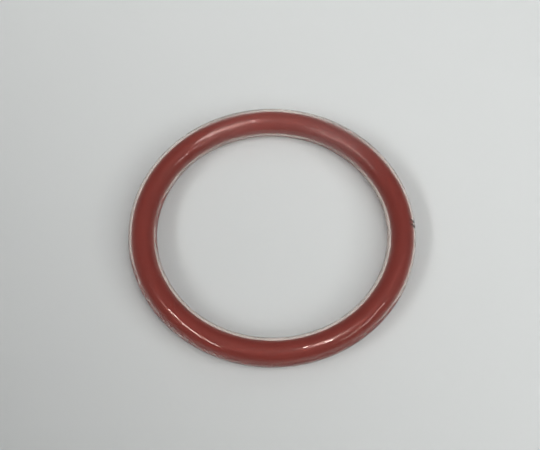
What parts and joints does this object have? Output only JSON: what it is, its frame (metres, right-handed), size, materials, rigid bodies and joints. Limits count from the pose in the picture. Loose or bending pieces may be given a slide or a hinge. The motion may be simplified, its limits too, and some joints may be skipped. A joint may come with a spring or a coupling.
{
  "type": "encapsulated o-ring",
  "caption": "Round sealing ring: a red-brown silicone cord sealed inside a clear tubular jacket that is welded end to end.",
  "frame": {"origin": "centre of the ring, midway through its thickness", "axes": "+Z along the ring's axis, +X towards the side with the jacket's weld"},
  "size_m": [0.0352, 0.0352, 0.0036],
  "materials": {
    "core": "satin red-brown silicone",
    "jacket": "clear smooth fluoropolymer"
  },
  "bodies": {
    "root": {"core": "core", "jacket": "jacket"}
  },
  "joints": []
}
